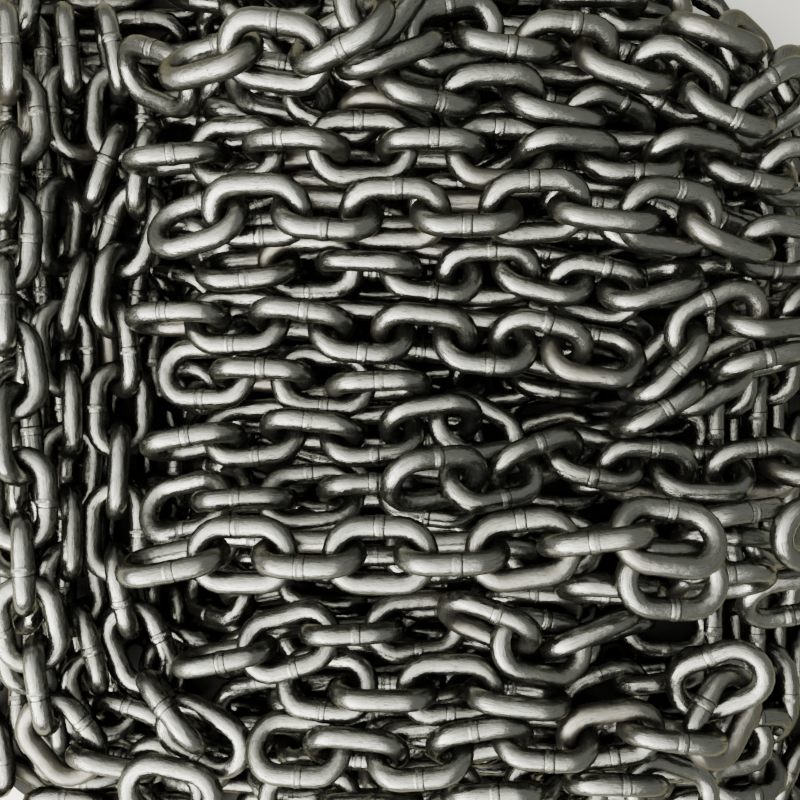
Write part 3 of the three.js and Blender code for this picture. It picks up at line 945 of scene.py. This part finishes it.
def floor_piece(finish):
    """A square of floor just under the heap."""
    half = FLOOR_SIZE / 2
    signs = ((-1, -1), (1, -1), (1, 1), (-1, 1))
    corners = [(half * x, half * y, -FLOOR_DEPTH) for x, y in signs]
    mesh = bpy.data.meshes.new("floor")
    mesh.from_pydata(corners, [], [(0, 1, 2, 3)])
    mesh.materials.append(shared_material("pale_floor", floor_material, finish))
    return add_object("floor", mesh)


def overhead_panel():
    """The wide soft light over the heap. Its power is that of an even panel of the stated
    radiance: radiance times pi times its area."""
    light = bpy.data.lights.new("overhead_panel", "AREA")
    light.shape = "RECTANGLE"
    light.size, light.size_y = PANEL_WIDTH, PANEL_DEPTH
    light.energy = PANEL_RADIANCE * math.pi * PANEL_WIDTH * PANEL_DEPTH
    light.color = PANEL_COLOUR
    light.use_nodes = True
    panel_glow(light.node_tree)
    return add_object("overhead_panel", light, PANEL_PLACE)


# Operators


class CHAIN_OT_strands(bpy.types.Operator):
    """Builds each packed strand as round welded links"""

    bl_idname = "chain_heap.strands"
    bl_label = "Build the strands"

    def execute(self, context):
        link, finish = context.scene.chain_link, context.scene.chain_finish
        seed = context.scene.chain_heap.seed
        steel = shared_material("oiled_steel", steel_material, link, finish)
        cut = (link.sides, CROWN_STEPS, WELD_RINGS)
        for number, strand in enumerate(STRANDS):
            rng = np.random.default_rng([seed, number])
            links = packed_links(strand, link)
            # Turning a link's direction across puts its weld on its lower leg
            lower = rng.random(len(links)) < LOWER_WELDS
            links[lower, 2] *= -1
            chain_piece(f"{strand}_links", link, links, cut, rng, steel, [strand])
        return {"FINISHED"}


class CHAIN_OT_buried(bpy.types.Operator):
    """Fills the mound with buried chain, in rows, columns and a border, over a near-black heart of
    painted shade
    """

    bl_idname = "chain_heap.buried"
    bl_label = "Build the buried chain"

    def execute(self, context):
        link, heap = context.scene.chain_link, context.scene.chain_heap
        finish = context.scene.chain_finish
        steel = shared_material("oiled_steel", steel_material, link, finish)
        shade_sheet = shared_material("painted_shade", shade_sheet_material, finish)
        rng = np.random.default_rng([heap.seed, BURIED_STREAM])
        ground = mound_terrain()
        seat = ground.sunk(heap.seat)
        rows, columns = buried_layers(seat, heap, rng)
        border, foot = border_links(seat, heap, rng)
        groups = {
            "buried_rows": clear_of_border(link, rows, foot),
            "buried_columns": clear_of_border(link, columns, foot),
            "buried_border": border,
        }
        for name, links in groups.items():
            links[:, 0, 2] += np.maximum(FLOOR_GAP - undersides(link, links), 0)
            chain_piece(name, link, links, BURIED_CUT, rng, steel, [MOUND])
        # The heart is painted shade: a near-black body under the gaps
        heart_piece(ground, inset_outline(HEART_INSET), shade_sheet)
        return {"FINISHED"}


class CHAIN_OT_stage(bpy.types.Operator):
    """Makes the pale floor, the soft overhead light and the camera straight above"""

    bl_idname = "chain_heap.stage"
    bl_label = "Build the stage"

    def execute(self, context):
        context.scene.camera = overhead_camera()
        floor_piece(context.scene.chain_finish)
        overhead_panel()
        world = bpy.data.worlds.new("studio")
        world.use_nodes = True
        studio_world(world.node_tree)
        context.scene.world = world
        return {"FINISHED"}


class CHAIN_PT_panel(bpy.types.Panel):
    """Lists the heap's pieces and its settings."""

    bl_idname = "CHAIN_PT_panel"
    bl_label = "Chain heap"
    bl_space_type = "VIEW_3D"
    bl_region_type = "UI"
    bl_category = "Chain heap"

    def draw(self, context):
        layout = self.layout
        for operator in OPERATORS:
            layout.operator(operator.bl_idname)
        for key in SETTINGS:
            group = getattr(context.scene, key)
            box = layout.box()
            for name in group.__annotations__:
                box.prop(group, name)


SETTINGS = {"chain_link": LinkSettings, "chain_heap": HeapSettings, "chain_finish": FinishSettings}
OPERATORS = (CHAIN_OT_strands, CHAIN_OT_buried, CHAIN_OT_stage)
CLASSES = (*SETTINGS.values(), *OPERATORS, CHAIN_PT_panel)


def register():
    for cls in CLASSES:
        bpy.utils.register_class(cls)
    for key, group in SETTINGS.items():
        setattr(bpy.types.Scene, key, PointerProperty(type=group))


def unregister():
    for key in SETTINGS:
        delattr(bpy.types.Scene, key)
    for cls in reversed(CLASSES):
        bpy.utils.unregister_class(cls)


def main():
    register()
    bpy.ops.chain_heap.strands()
    bpy.ops.chain_heap.buried()
    bpy.ops.chain_heap.stage()


if __name__ == "__main__":
    main()
